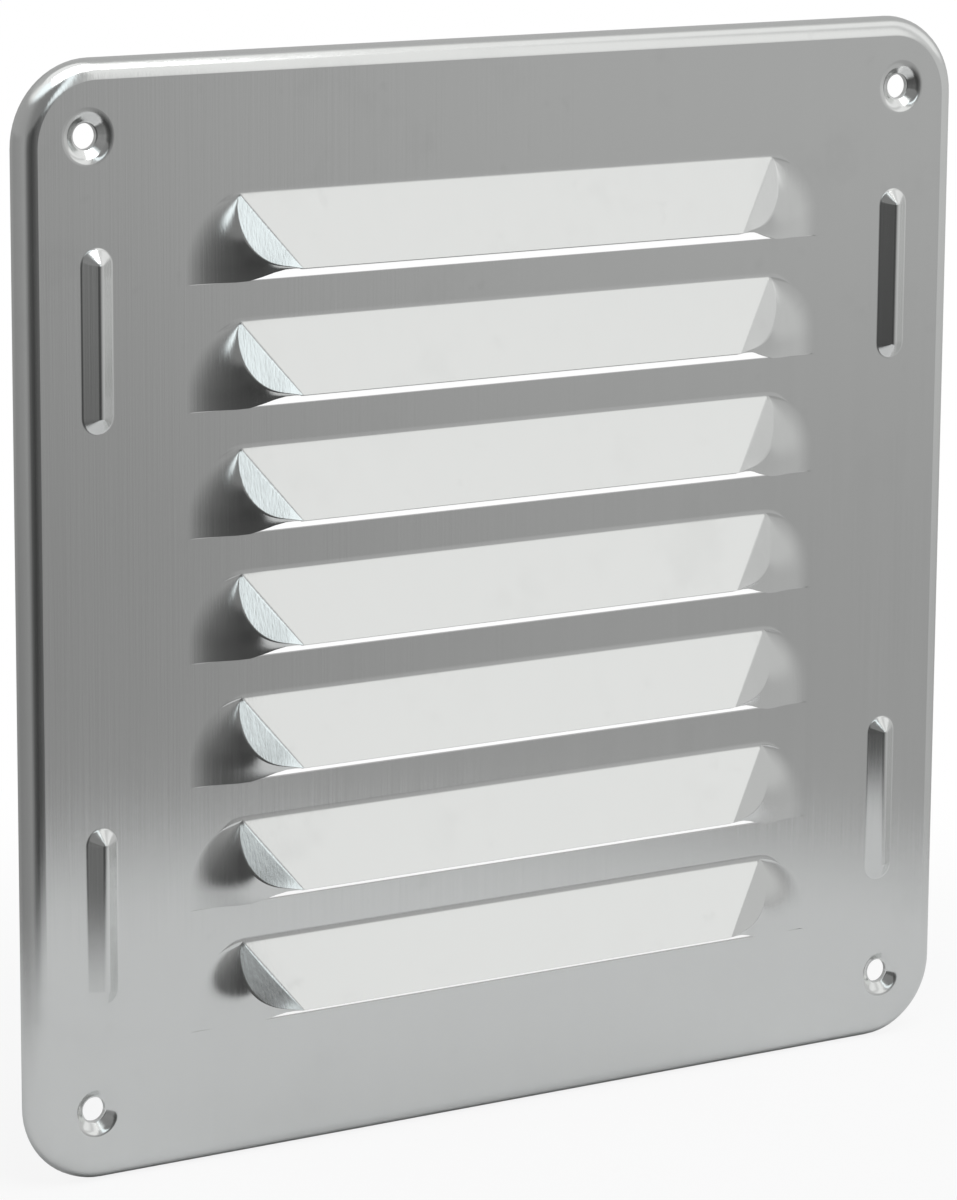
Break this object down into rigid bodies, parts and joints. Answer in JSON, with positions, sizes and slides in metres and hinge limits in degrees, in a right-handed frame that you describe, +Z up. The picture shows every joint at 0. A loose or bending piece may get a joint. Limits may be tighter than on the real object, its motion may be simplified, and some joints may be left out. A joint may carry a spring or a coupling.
{
  "type": "louvred vent grille",
  "caption": "Square pressed sheet-metal vent grille with downward louvre hoods, a turned rim and countersunk screw holes at its corners.",
  "frame": {"origin": "centre of the pattern of four screw holes, on the wall plane that the rim's back edge rests on", "axes": "+Z up the wall, -Y out of the wall towards the viewer (the louvres open downwards, -Z), +X to the right for a viewer who faces the grille"},
  "size_m": [0.2, 0.0086, 0.2],
  "materials": {
    "sheet": "bright rolled sheet"
  },
  "bodies": {
    "root": {"louvred_grille": "sheet"}
  },
  "joints": []
}
